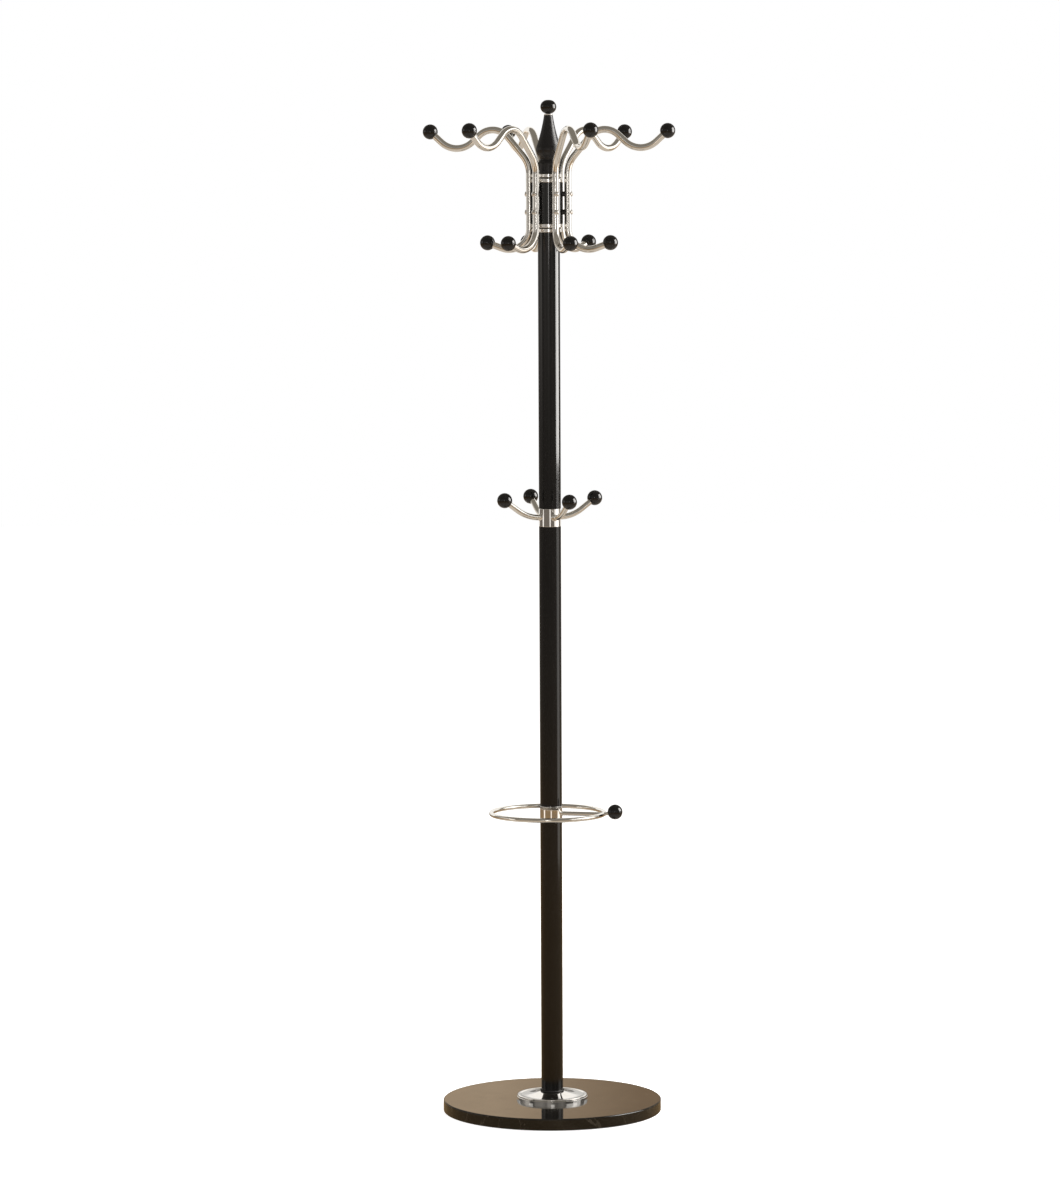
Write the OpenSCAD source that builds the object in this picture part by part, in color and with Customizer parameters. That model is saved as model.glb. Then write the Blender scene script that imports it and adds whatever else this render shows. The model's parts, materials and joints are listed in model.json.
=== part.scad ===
// Standing coat rack: a stone base, a post of three tubes, an umbrella ring, short fixed
// hooks on a collar, and a crown of double hooks that turns on a spindle under a finial.
// Millimetres, +Z up. The origin is on the floor, under the centre of the post.

/* [Base] */
// Diameter of the stone disc
base_d = 380; // [340:5:420]
// Height of the stone's top face above the floor
base_top = 22; // [18:1:24]
// Diameter of the chrome flange round the post's foot
flange_d = 123; // [110:1:140]

/* [Post] */
// Outer diameter of the post tubes
post_d = 38; // [37:0.5:39]
// Wall thickness of the post tubes
post_wall = 1.5; // [1.2:0.1:2]
// Height of the post's upper end, under the crown
crown_z = 1531.5; // [1450:0.5:1600]

/* [Umbrella ring] */
// Height of the ring's plane
ring_z = 524; // [450:1:600]
// Radius of the ring, to the middle of its wire
ring_r = 98; // [80:1:120]
// Diameter of the ring's wire
ring_wire_d = 8; // [8:0.5:10]
// Direction of the ring's arm in plan, counted from +X
ring_arm_turn = -12; // [-30:1:30]

/* [Mid hooks] */
// Height of the hook collar's lower edge
hook_collar_z = 1024; // [950:1:1100]
// Direction of the first mid hook in plan, counted from +X
mid_turn = -67; // [-90:1:90]
// Diameter of the mid hooks' rod
mid_rod_d = 10; // [9:0.5:11]

/* [Crown] */
// Direction of the first double hook in plan, counted from +X
crown_turn = -10.3; // [-30:0.1:30]
// Radius of the crown to the middle of the double hooks' upright tubes
hook_r = 33.7; // [33:0.1:36]
// Diameter of the double hooks' tube
tube_d = 12; // [11:0.5:12]
// Radius of the hub sleeve
hub_r = 24.5; // [24:0.1:25]
// Distance between the two screws of a double hook
screw_gap = 31; // [26:1:36]

/* [Knobs] */
// Diameter of the ball knobs
knob_d = 26; // [24:1:28]
// Height of the finial's top above the post's upper end
finial_rise = 226.5; // [225:0.5:230]

/* [Hidden] */
$fn = 64;
hook_count = 6;      // double hooks round the crown
mid_count = 4;       // hooks on the collar
fit = 0.05;          // gap between pieces that are fitted into each other
run_gap = 0.3;       // free height between the turning crown and the parts beside it
spare = 1;           // depth that a hole has beyond the end of its pin

// The base, from below
foot_h = 1.5;        // how far the feet stand out below the stone
foot_r = 14;
foot_inset = 40;     // from the stone's rim in to the feet's centres
foot_screw_r = 3;    // the hole through each foot
recess_top = 3;
recess_gap = 0.2;
stone_edge = 2;      // radius of the stone's rounded edges
counterbore_r = 24;
counterbore_top = 9;
washer_r = 22;
washer_h = 2;
bolt_head_r = 10.4;
bolt_head_h = 4.8;
bolt_clear = 0.5;
bolt_rise = 34.2;    // how far the bolt stands out above the stone

post_r = post_d / 2;
plug_r = post_r - post_wall - fit;
collar_r = post_r + 0.3;
collar_edge = 0.5;
stud_r = 6;
stud_l = 76;
plug_l = 30;
end_plug_l = 40;     // the plugs in the post's foot and in its upper end
spigot_in = 11;      // distance from the axis to the inner end of the collars' spigots

ring_collar_h = 26;
hook_collar_h = 31;
ring_shift = -6;     // the ring's centre lies beside the post's axis
ring_collar_z = ring_z - ring_collar_h / 2;
mid_z = hook_collar_z + 16;  // where the mid hooks leave their collar
hook_collar_top = hook_collar_z + hook_collar_h;

// The stack on the spindle, from the post's end upwards
stop_ring_h = 6;
stop_ring_r = post_r + 3;
seam_h = 2;          // the dark gap at each end of the hub, which holds a thrust washer
hub_ring_h = 6.5;
hub_ring_lip = 0.5;  // how far the hub's chrome rings stand out beyond its sleeve
hub_ring_bore_r = 12;
sleeve_h = 71;
bush_h = 14;
hub_z = crown_z + stop_ring_h + seam_h;
sleeve_z = hub_z + hub_ring_h;
hub_top = sleeve_z + sleeve_h + hub_ring_h;
top_ring_z = hub_top + seam_h;
spacer_z = top_ring_z + stop_ring_h;
spacer_h = 23.5;
spacer_r = 18.6;
spacer_bore_r = 15;
spacer_taper = 3;
cap_h = 5;           // the spacer's closed and tapered top
finial_z = spacer_z + spacer_h;
spindle_r = 8;
spindle_in = 36;     // how deep the spindle sits in the post
tenon_r = 5;         // the spindle's thinner top end
tenon_h = 14;        // how deep the tenon sits in the finial
nut_r = 13.8;
nut_h = 10;
sleeve_wall = 3.5;
hub_mid = (hub_z + hub_top) / 2;
screw_z = [hub_mid - screw_gap / 2, hub_mid + screw_gap / 2];
screw_r = 2.5;

// The finial, from its foot to the ball
top_z = crown_z + finial_rise;
ball_r = 11.75;      // the finial's ball is wider than it is high
ball_spread = 2;
neck_ring_h = 2.5;
neck_ring_z = top_z - 2 * ball_r - neck_ring_h;
neck_r = 7.2;
finial_stud_r = 3;
finial_stud_in = 11; // how deep the stud sits in the finial and in the ball

// A bent rod is a list of steps: [length, 0] runs straight, and [radius, turn] bends
// towards the path's own +X for a positive turn and away from it for a negative one.
// A double hook's upper arm starts with its upright, at the upright's lower end.
upper_arm = [[94, 0], [48, 39.5], [42, 0], [34, 93], [18, 0], [39.5, -85], [27, 0]];
lower_arm = [[36, 110], [27, 0]];
mid_arm = [[70, -36], [30, 0]];
upright_z = hub_z - 1.5;  // the lower end of the uprights
bend_loss = 0.04;    // a bend's diameter is this much under that of the straight runs
lap = 0.1;           // how far a straight run reaches into the bends beside it

// How far a rod's end stays from its knob's centre
knob_seat = 7;

// ---- Helpers ----

// Points of an arc about [x, y], from angle a0 to a1
function arc(x, y, r, a0, a1, n = 12) =
    [for (i = [0:n]) let (a = a0 + (a1 - a0) * i / n) [x + r * cos(a), y + r * sin(a)]];

// The steps of a path with its last run shortened by cut
function shortened(steps, cut) =
    [for (i = [0:len(steps) - 1])
        i < len(steps) - 1 ? steps[i] : [steps[i][0] - cut, 0]];

// Moves its children from a step's start to its end
module after(step) {
    r = step[0];
    turn = step[1];
    if (turn == 0)
        translate([0, 0, r]) children();
    else
        translate([sign(turn) * r * (1 - cos(turn)), 0, r * sin(abs(turn))])
            rotate([0, turn, 0]) children();
}

// Moves its children to the end of a whole path
module at_end(steps, i = 0) {
    if (i < len(steps))
        after(steps[i]) at_end(steps, i + 1) children();
    else
        children();
}

// One step of a tube or, with wall = 0, of a rod
module bent_piece(step, d, wall) {
    r = step[0];
    turn = step[1];
    if (turn == 0)
        difference() {
            translate([0, 0, -lap]) cylinder(d = d, h = r + 2 * lap);
            if (wall > 0)
                translate([0, 0, -1]) cylinder(d = d - 2 * wall, h = r + 2);
        }
    else
        mirror([turn > 0 ? 1 : 0, 0, 0])
            translate([-r, 0, 0])
                rotate([90, 0, 0])
                    rotate_extrude(angle = abs(turn))
                        translate([r, 0])
                            difference() {
                                circle(d = d - bend_loss);
                                if (wall > 0) circle(d = d - 2 * wall + bend_loss);
                            }
}

// A whole path of tube or rod, starting at the origin and heading up
module bent_rod(steps, d, wall = 0, i = 0) {
    if (i < len(steps)) {
        bent_piece(steps[i], d, wall);
        after(steps[i]) bent_rod(steps, d, wall, i + 1);
    }
}

// A flat ring or a short tube
module ring(r_out, r_in, h) {
    difference() {
        cylinder(r = r_out, h = h);
        translate([0, 0, -1]) cylinder(r = r_in, h = h + 2);
    }
}

// A ring with rounded outer edges
module soft_ring(r_out, r_in, h, edge = 0.8) {
    rotate_extrude()
        polygon(concat([[r_in, 0]],
                       arc(r_out - edge, edge, edge, -90, 0, 6),
                       arc(r_out - edge, h - edge, edge, 0, 90, 6),
                       [[r_in, h]]));
}

// A ball knob centred on the origin, with the bore for its rod from below
module knob(bore_r) {
    difference() {
        sphere(d = knob_d);
        translate([0, 0, -knob_d]) cylinder(r = bore_r, h = knob_d - knob_seat);
    }
}

// Copies its children to the four corners of the feet
module at_feet() {
    for (i = [0:3])
        rotate([0, 0, 45 + 90 * i]) translate([base_d / 2 - foot_inset, 0, 0]) children();
}

module at_mid_hook(i) {
    rotate([0, 0, mid_turn + 360 / mid_count * (i - 1)]) children();
}

module at_double_hook(i) {
    rotate([0, 0, crown_turn + 360 / hook_count * (i - 1)]) children();
}

// Moves its children to a double hook's upper or lower knob
module at_upper_knob(i) {
    at_double_hook(i) translate([hook_r, 0, upright_z]) at_end(upper_arm) children();
}

module at_lower_knob(i) {
    at_double_hook(i) translate([hook_r, 0, upright_z])
        mirror([0, 0, 1]) at_end(lower_arm) children();
}

// Turns its children's +Z outwards, at both screws of double hook i
module at_screws(i) {
    at_double_hook(i)
        for (z = screw_z) translate([0, 0, z]) rotate([0, 90, 0]) children();
}

// ---- Base ----

module base_disc() {
    r = base_d / 2;
    color([0.05, 0.05, 0.05])
    difference() {
        rotate_extrude()
            polygon(concat([[0, foot_h]],
                           arc(r - stone_edge, foot_h + stone_edge, stone_edge, -90, 0, 8),
                           arc(r - stone_edge, base_top - stone_edge, stone_edge, 0, 90, 8),
                           [[0, base_top]]));
        cylinder(r = counterbore_r, h = counterbore_top);
        cylinder(r = stud_r + bolt_clear, h = base_top + 1);
        at_feet() cylinder(r = foot_r + recess_gap, h = recess_top);
    }
}

module base_feet() {
    color([0.12, 0.12, 0.12])
    at_feet() soft_ring(foot_r, foot_screw_r, recess_top - fit);
}

module base_washer() {
    color([0.65, 0.65, 0.67])
    translate([0, 0, counterbore_top - washer_h]) ring(washer_r, stud_r + 0.3, washer_h);
}

module base_bolt() {
    head_z = counterbore_top - washer_h - bolt_head_h;
    color([0.6, 0.6, 0.62])
    translate([0, 0, head_z])
        union() {
            cylinder(r = bolt_head_r, h = bolt_head_h, $fn = 6);
            cylinder(r = stud_r, h = base_top + bolt_rise - head_z);
        }
}

// The flange in section, counted from the stone's top face and from its own rim radius r:
// a stepped rim, a flat lip, a groove, and a cover that sweeps up to the post
flange_wall = 1.4;
step_z = 4.6;        // the rim's step, and the height of the room under the lip
step_in = 0.8;
step_slope = 0.6;
lip_h = 8;
lip_edge = 1.6;
lip_in = 6.6;
groove_in = 7.2;
groove_h = 7.3;
sweep_in = 7.8;      // where the cover's sweep starts
sweep_r = 103;
sweep = asin((flange_d / 2 - sweep_in - post_r) / sweep_r);
flange_h = groove_h + sweep_r * (1 - cos(sweep));

// The cover's sweep, its lower end raised by h
function flange_sweep(h) =
    arc(flange_d / 2 - sweep_in, h + sweep_r, sweep_r, -90, -90 - sweep, 10);

module base_flange() {
    r = flange_d / 2;
    rim_top = lip_h - lip_edge;
    color([0.85, 0.84, 0.82])
    translate([0, 0, base_top])
        rotate_extrude()
            difference() {
                polygon(concat([[0, 0], [r, 0], [r, step_z], [r - step_in, step_z + step_slope]],
                               arc(r - step_in - lip_edge, rim_top, lip_edge, 0, 90, 6),
                               [[r - lip_in, lip_h], [r - groove_in, groove_h]],
                               flange_sweep(groove_h),
                               [[0, flange_h]]));
                polygon(concat([[0, -1], [r - flange_wall, -1], [r - flange_wall, step_z]],
                               flange_sweep(groove_h - flange_wall),
                               [[0, flange_h - flange_wall]]));
                square([post_r + fit, 2 * flange_h]);
            }
}

module flange_gasket() {
    color([0.03, 0.03, 0.03])
    translate([0, 0, base_top + flange_h]) soft_ring(post_r + 2.2, post_r + fit, 2.6, 1);
}

// ---- Post ----

module post_tube(z0, z1) {
    color([0.03, 0.03, 0.03])
    translate([0, 0, z0]) ring(post_r, post_r - post_wall, z1 - z0);
}

module lower_tube() {
    post_tube(base_top, ring_collar_z);
}

module middle_tube() {
    post_tube(ring_collar_z + ring_collar_h, hook_collar_z);
}

module upper_tube() {
    post_tube(hook_collar_top, crown_z);
}

module tube_plug(z, h, bore_r) {
    color([0.55, 0.55, 0.57])
    translate([0, 0, z]) ring(plug_r, bore_r, h);
}

module lower_tube_foot_plug() {
    tube_plug(base_top, end_plug_l, stud_r + fit);
}

// The four plugs beside the two collars, one in each tube end
module tube_plugs() {
    for (z = [ring_collar_z - plug_l, ring_collar_z + ring_collar_h,
              hook_collar_z - plug_l, hook_collar_top])
        tube_plug(z, plug_l, stud_r + fit);
}

// The two studs that draw the tubes against the collars
module joint_studs() {
    color([0.6, 0.6, 0.62])
    for (z = [ring_z, hook_collar_z + hook_collar_h / 2])
        translate([0, 0, z - stud_l / 2]) cylinder(r = stud_r, h = stud_l);
}

// ---- Umbrella ring ----

arm_r = ring_wire_d / 2 - 0.2;
// Distance from the post's axis to where the arm's line crosses the ring's wire
ring_cross = ring_shift * cos(ring_arm_turn)
    + sqrt(pow(ring_r, 2) - pow(ring_shift * sin(ring_arm_turn), 2));
stub_l = 21.5;       // from the wire's middle to the knob's centre
stub_rise = 12;      // how steeply the stub leaves the ring's plane
stub_r = 3;

module ring_collar() {
    color([0.85, 0.84, 0.82])
    difference() {
        translate([0, 0, ring_collar_z])
            soft_ring(collar_r, stud_r + fit, ring_collar_h, collar_edge);
        translate([0, 0, ring_z]) rotate([0, 90, ring_arm_turn])
            translate([0, 0, spigot_in - spare]) cylinder(r = arm_r + fit, h = collar_r);
    }
}

module umbrella_ring() {
    color([0.88, 0.87, 0.84])
    translate([ring_shift, 0, ring_z])
        rotate_extrude() translate([ring_r, 0]) circle(d = ring_wire_d);
}

module ring_arm() {
    color([0.85, 0.84, 0.82])
    difference() {
        translate([0, 0, ring_z]) rotate([0, 90, ring_arm_turn])
            translate([0, 0, spigot_in]) cylinder(r = arm_r, h = ring_cross - spigot_in);
        umbrella_ring();
    }
}

// Moves its children to the ring's wire, +Z towards the knob
module at_stub() {
    rotate([0, 0, ring_arm_turn]) translate([ring_cross, 0, ring_z])
        rotate([0, 90 - stub_rise, 0]) children();
}

module ring_knob_stub() {
    color([0.85, 0.84, 0.82])
    difference() {
        at_stub() cylinder(r = stub_r, h = stub_l - knob_seat);
        umbrella_ring();
    }
}

module ring_knob() {
    color([0.02, 0.02, 0.02])
    at_stub() translate([0, 0, stub_l]) knob(stub_r + fit);
}

// ---- Mid hooks ----

mid_spigot_r = 4;

module hook_collar() {
    color([0.85, 0.84, 0.82])
    difference() {
        translate([0, 0, hook_collar_z])
            soft_ring(collar_r, stud_r + fit, hook_collar_h, collar_edge);
        for (i = [1:mid_count]) at_mid_hook(i)
            translate([spigot_in - spare, 0, mid_z]) rotate([0, 90, 0])
                cylinder(r = mid_spigot_r + fit, h = collar_r);
    }
}

module mid_hook(i) {
    color([0.85, 0.84, 0.82])
    at_mid_hook(i)
        union() {
            translate([spigot_in, 0, mid_z]) rotate([0, 90, 0])
                cylinder(r = mid_spigot_r, h = collar_r - spigot_in + 1);
            difference() {
                union() {
                    translate([collar_r, 0, mid_z]) rotate([0, 90, 0])
                        bent_rod(shortened(mid_arm, knob_seat + 2 * lap), mid_rod_d);
                    translate([collar_r - 2, 0, mid_z]) rotate([0, 90, 0])
                        cylinder(d = mid_rod_d, h = 2 + lap);
                }
                translate([0, 0, hook_collar_z]) cylinder(r = collar_r, h = hook_collar_h);
            }
        }
}

module mid_knobs() {
    color([0.02, 0.02, 0.02])
    for (i = [1:mid_count]) at_mid_hook(i)
        translate([collar_r, 0, mid_z]) rotate([0, 90, 0])
            at_end(mid_arm) knob(mid_rod_d / 2 + fit);
}

// ---- Fixed parts of the crown ----

module spindle_plug() {
    tube_plug(crown_z - end_plug_l, end_plug_l, spindle_r + fit);
}

module spindle() {
    color([0.6, 0.6, 0.62])
    union() {
        translate([0, 0, crown_z - spindle_in])
            cylinder(r = spindle_r, h = finial_z - cap_h - crown_z + spindle_in);
        translate([0, 0, finial_z - cap_h - 1]) cylinder(r = tenon_r, h = cap_h + 1 + tenon_h);
    }
}

module lower_stop_ring() {
    color([0.85, 0.84, 0.82])
    translate([0, 0, crown_z]) soft_ring(stop_ring_r, spindle_r + fit, stop_ring_h);
}

module upper_stop_ring() {
    color([0.85, 0.84, 0.82])
    translate([0, 0, top_ring_z]) soft_ring(stop_ring_r, spindle_r + fit, stop_ring_h);
}

// Each washer rests on the fixed side of its seam, clear of the hub
module thrust_washers() {
    color([0.03, 0.03, 0.03])
    for (z = [hub_z - seam_h, hub_top + run_gap])
        translate([0, 0, z]) ring(post_r + 1, spindle_r + fit, seam_h - run_gap);
}

module spindle_nut() {
    color([0.6, 0.6, 0.62])
    translate([0, 0, spacer_z])
        difference() {
            cylinder(r = nut_r, h = nut_h, $fn = 6);
            translate([0, 0, -1]) cylinder(r = spindle_r + fit, h = nut_h + 2);
        }
}

module top_spacer() {
    color([0.03, 0.03, 0.03])
    translate([0, 0, spacer_z])
        rotate_extrude()
            polygon([[spacer_bore_r, 0], [spacer_r, 0], [spacer_r, spacer_h - cap_h],
                     [spacer_r - spacer_taper, spacer_h], [tenon_r + fit, spacer_h],
                     [tenon_r + fit, spacer_h - cap_h], [spacer_bore_r, spacer_h - cap_h]]);
}

// The finial's outline: a foot, a full round belly, and a long flank that hollows in to
// the neck. The flank leaves the belly at flank_a0 and ends under the neck ring.
finial_foot_r = 14.8;
finial_foot_h = 2.4;
belly_r = 15.5;
belly_x = 6.1;
belly_z = finial_z + 18;
belly_a0 = -50;
flank_r = 320;
flank_a0 = 18.8;
flank_x = belly_x + (belly_r + flank_r) * cos(flank_a0);
flank_z = belly_z + (belly_r + flank_r) * sin(flank_a0);
flank_a1 = asin((flank_z - neck_ring_z) / flank_r);

module finial() {
    color([0.03, 0.03, 0.03])
    difference() {
        rotate_extrude()
            polygon(concat([[0, finial_z], [finial_foot_r, finial_z],
                            [finial_foot_r - 0.2, finial_z + finial_foot_h]],
                           arc(belly_x, belly_z, belly_r, belly_a0, flank_a0, 16),
                           arc(flank_x, flank_z, flank_r, 180 + flank_a0, 180 + flank_a1, 16),
                           [[0, neck_ring_z]]));
        translate([0, 0, finial_z - 1]) cylinder(r = tenon_r + fit, h = 1 + tenon_h + spare);
        translate([0, 0, neck_ring_z - finial_stud_in - spare])
            cylinder(r = finial_stud_r + fit, h = finial_stud_in + 2 * spare);
    }
}

module finial_stud() {
    color([0.6, 0.6, 0.62])
    translate([0, 0, neck_ring_z - finial_stud_in])
        cylinder(r = finial_stud_r, h = neck_ring_h + 2 * finial_stud_in);
}

module finial_neck_ring() {
    color([0.85, 0.84, 0.82])
    translate([0, 0, neck_ring_z])
        soft_ring(neck_r + 0.6, finial_stud_r + fit, neck_ring_h, 0.9);
}

module finial_ball() {
    color([0.02, 0.02, 0.02])
    translate([0, 0, top_z - ball_r])
        difference() {
            rotate_extrude()
                polygon(concat([[0, -ball_r]],
                               arc(ball_spread, 0, ball_r, -90, 90, 32),
                               [[0, ball_r]]));
            translate([0, 0, -ball_r - 1])
                cylinder(r = finial_stud_r + fit, h = 1 + finial_stud_in + spare);
        }
}

// ---- Turning hub ----

module hub_ring(z) {
    color([0.85, 0.84, 0.82])
    translate([0, 0, z]) soft_ring(hub_r + hub_ring_lip, hub_ring_bore_r, hub_ring_h);
}

module hub_lower_ring() {
    hub_ring(hub_z);
}

module hub_upper_ring() {
    hub_ring(hub_top - hub_ring_h);
}

module hub_sleeve() {
    color([0.02, 0.02, 0.02])
    difference() {
        translate([0, 0, sleeve_z]) ring(hub_r, hub_r - sleeve_wall, sleeve_h);
        for (i = [1:hook_count]) at_screws(i)
            cylinder(r = screw_r + fit, h = hook_r);
    }
}

// The bushes turn on the spindle with a running clearance
module hub_bush(z) {
    color([0.8, 0.8, 0.76])
    translate([0, 0, z]) ring(hub_r - sleeve_wall - fit, spindle_r + fit, bush_h);
}

module hub_lower_bush() {
    hub_bush(sleeve_z);
}

module hub_upper_bush() {
    hub_bush(sleeve_z + sleeve_h - bush_h);
}

// ---- Double hooks ----

module double_hook(i) {
    wall = 1.2;
    color([0.82, 0.8, 0.76])
    difference() {
        at_double_hook(i) translate([hook_r, 0, upright_z])
            union() {
                bent_rod(shortened(upper_arm, knob_seat + 2 * lap), tube_d, wall);
                mirror([0, 0, 1])
                    bent_rod(shortened(lower_arm, knob_seat + 2 * lap), tube_d, wall);
            }
        at_screws(i) translate([0, 0, hook_r - tube_d]) cylinder(r = screw_r + fit, h = 2 * tube_d);
    }
}

module upper_knob(i) {
    color([0.02, 0.02, 0.02])
    at_upper_knob(i) knob(tube_d / 2 + fit);
}

module lower_knob(i) {
    color([0.02, 0.02, 0.02])
    at_lower_knob(i) knob(tube_d / 2 + fit);
}

// A saddle fills the gap between hub and tube at each screw, and is hollowed to both
module hook_saddles() {
    saddle_r = 4.5;
    over = 2;        // how far the saddle reaches round the hub before it is hollowed
    color([0.03, 0.03, 0.03])
    for (i = [1:hook_count])
        difference() {
            at_screws(i) translate([0, 0, hub_r - over]) cylinder(r = saddle_r, h = hook_r - hub_r);
            cylinder(r = hub_r + fit, h = 2 * hub_top);
            at_double_hook(i) translate([hook_r, 0, 0])
                cylinder(r = tube_d / 2 + fit, h = 2 * hub_top);
            at_screws(i) cylinder(r = screw_r + fit, h = hook_r);
        }
}

// Domed screws through tube and saddle into the hub's wall
module hook_screws() {
    head_r = 4.5;
    dome_r = 6;
    head_h = 2.6;    // the head's top above the tube
    sink = 2;        // how far the head reaches round the tube before it is hollowed
    tip_in = 0.5;    // the screw's tip stays this far inside the sleeve's wall
    color([0.8, 0.79, 0.76])
    for (i = [1:hook_count])
        union() {
            at_screws(i) translate([0, 0, hub_r - sleeve_wall + tip_in])
                cylinder(r = screw_r, h = hook_r - hub_r + sleeve_wall + tube_d / 2);
            difference() {
                at_screws(i) translate([0, 0, hook_r + tube_d / 2 - sink])
                    intersection() {
                        cylinder(r = head_r, h = 2 * dome_r);
                        translate([0, 0, sink + head_h - dome_r]) sphere(r = dome_r);
                    }
                at_double_hook(i) translate([hook_r, 0, 0])
                    cylinder(r = tube_d / 2, h = 2 * hub_top);
            }
        }
}

// ---- The assembly ----

base_disc();
base_feet();
base_washer();
base_bolt();
base_flange();
flange_gasket();
lower_tube();
lower_tube_foot_plug();
middle_tube();
upper_tube();
tube_plugs();
joint_studs();
ring_collar();
umbrella_ring();
ring_arm();
ring_knob_stub();
ring_knob();
hook_collar();
for (i = [1:mid_count]) {
    mid_hook(i);
}
mid_knobs();
spindle_plug();
spindle();
lower_stop_ring();
thrust_washers();
upper_stop_ring();
spindle_nut();
top_spacer();
finial();
finial_stud();
finial_neck_ring();
finial_ball();
hub_lower_ring();
hub_lower_bush();
hub_sleeve();
hub_upper_bush();
hub_upper_ring();
for (i = [1:hook_count]) {
    double_hook(i);
    upper_knob(i);
    lower_knob(i);
}
hook_saddles();
hook_screws();
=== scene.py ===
import json
from math import asin, atan2, cos, degrees, pi, radians, sin, sqrt, tan

import bpy
from mathutils import Matrix, Vector


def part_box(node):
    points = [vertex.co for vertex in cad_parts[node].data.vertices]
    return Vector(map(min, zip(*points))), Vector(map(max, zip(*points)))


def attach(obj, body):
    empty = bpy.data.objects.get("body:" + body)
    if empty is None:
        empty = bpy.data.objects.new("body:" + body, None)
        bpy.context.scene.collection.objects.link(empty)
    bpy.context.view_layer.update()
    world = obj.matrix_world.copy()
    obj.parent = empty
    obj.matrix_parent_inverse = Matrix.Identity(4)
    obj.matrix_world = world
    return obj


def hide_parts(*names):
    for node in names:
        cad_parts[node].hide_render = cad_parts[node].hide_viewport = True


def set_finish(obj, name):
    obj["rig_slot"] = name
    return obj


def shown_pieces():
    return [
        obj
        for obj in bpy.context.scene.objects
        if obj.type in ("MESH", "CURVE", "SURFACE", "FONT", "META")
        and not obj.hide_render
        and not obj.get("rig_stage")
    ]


# The looks of a standing coat rack round its CAD frame. Shapes are worked out in millimetres in the
# frame's own axes and become metres when a mesh is made. Every fine piece keeps the size and the place
# of the CAD node that it stands for.

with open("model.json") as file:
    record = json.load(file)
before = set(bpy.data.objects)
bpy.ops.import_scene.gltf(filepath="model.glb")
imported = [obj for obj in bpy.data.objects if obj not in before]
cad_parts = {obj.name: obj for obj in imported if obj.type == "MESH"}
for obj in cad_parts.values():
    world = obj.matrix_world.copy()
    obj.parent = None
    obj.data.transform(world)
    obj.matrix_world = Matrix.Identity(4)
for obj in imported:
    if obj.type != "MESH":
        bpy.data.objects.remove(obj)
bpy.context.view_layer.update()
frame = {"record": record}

MM = 0.001
X, Z = 0, 2
record = frame["record"]
BODY = {node: body for body, nodes in record["behaviour"]["bodies"].items() for node in nodes}
SLOT = {part["node"]: part["material_slot"] for part in record["subparts"]}


def low(node, axis):
    """The lowest value of a CAD node along an axis, in millimetres."""
    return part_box(node)[0][axis] / MM


def high(node, axis):
    """The highest value of a CAD node along an axis, in millimetres."""
    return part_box(node)[1][axis] / MM


def middle(node, axis):
    """The middle of a CAD node along an axis, in millimetres."""
    return (low(node, axis) + high(node, axis)) / 2


def slot_of(obj):
    """The material slot of a shown piece, fine or carried over from CAD."""
    return obj.get("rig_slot") or SLOT[obj.name]


# ---- Sizes, in millimetres and degrees ----

SHARP_ANGLE = 32         # an edge that bends more than this is shown sharp
POLE = 89                # a ball's or a dome's outline stops at this angle and closes on the axis
ROD_SIDES = 32
TUBE_SIDES = 40
FIT = 0.05               # radial clearance between a bore and its rod

# The radius of the soft outer edges.
stone_edge = 2
gasket_edge = 1
tube_edge = 0.35         # small, but enough to show the seams between the post's tubes
collar_edge = 0.6
sleeve_edge = 0.3
trim_edge = 0.9          # the chrome rings at the crown and under the finial's ball

base_r = high("base_disc", X)
base_top = high("base_disc", Z)
base_under = low("base_disc", Z)
bolt_hole_r = 6.5
counterbore_r = 24
counterbore_top = 9
foot_count = 4
foot_turn = 45
foot_spread = base_r - 40
foot_r = 14
foot_screw_r = 3
recess_r = 14.2
recess_top = 3

flange_r = high("base_flange", X)
flange_rise = high("base_flange", Z) - base_top
post_r = high("upper_tube", X)
post_wall = 1.5
post_bore_r = post_r + FIT
collar_r = high("ring_collar", X)
stud_bore_r = 6 + FIT
spindle_bore_r = 8 + FIT
hub_ring_bore_r = 12 + FIT
finial_stud_bore_r = 3 + FIT

ring_z = middle("umbrella_ring", Z)
ring_centre_x = middle("umbrella_ring", X)
wire_r = (high("umbrella_ring", Z) - low("umbrella_ring", Z)) / 2
ring_r = high("umbrella_ring", X) - ring_centre_x - wire_r
arm_turn = -12
arm_r = wire_r - 0.2
arm_start = 11           # the arm's inner end, inside the collar
stub_r = 3
stub_length = 21.5
stub_rise = 12

# An arm is a list of bends (radius, turn) and straight runs (length, 0).
mid_count = 4
mid_turn = -67
mid_z = low("hook_collar", Z) + 16
mid_rod_r = 5
mid_arm = [(70, -36), (30, 0)]

hook_count = 6
crown_turn = -10.3
hook_r = 33.7            # from the post's axis to the axis of a double hook's upright
tube_r = 6
tube_wall = 1.2
upright_z = low("hub_lower_ring", Z) - 1.5
upper_arm = [(94, 0), (48, 39.5), (42, 0), (34, 93), (18, 0), (39.5, -85), (27, 0)]
lower_arm = [(36, -110), (27, 0)]

knob_r = (high("ring_knob", Z) - low("ring_knob", Z)) / 2
knob_seat = 7            # a rod's end stays this far from its knob's centre
parting_out = 0.05       # how far a mould's parting line stands out
parting_half = 0.12      # half the width of that line

hub_r = high("hub_sleeve", X)
hub_wall = 3.5
screw_gap = 31
first_screw_z = low("hub_lower_ring", Z) + 26.5
screw_levels = [first_screw_z, first_screw_z + screw_gap]
screw_head_r = 4.5


# ---- Outlines ----

def arc(x, z, r, start, end, steps):
    """Points of an arc about (x, z), from angle start to angle end in degrees."""
    turns = [radians(start + (end - start) * i / steps) for i in range(steps + 1)]
    return [(x + r * cos(t), z + r * sin(t)) for t in turns]


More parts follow.
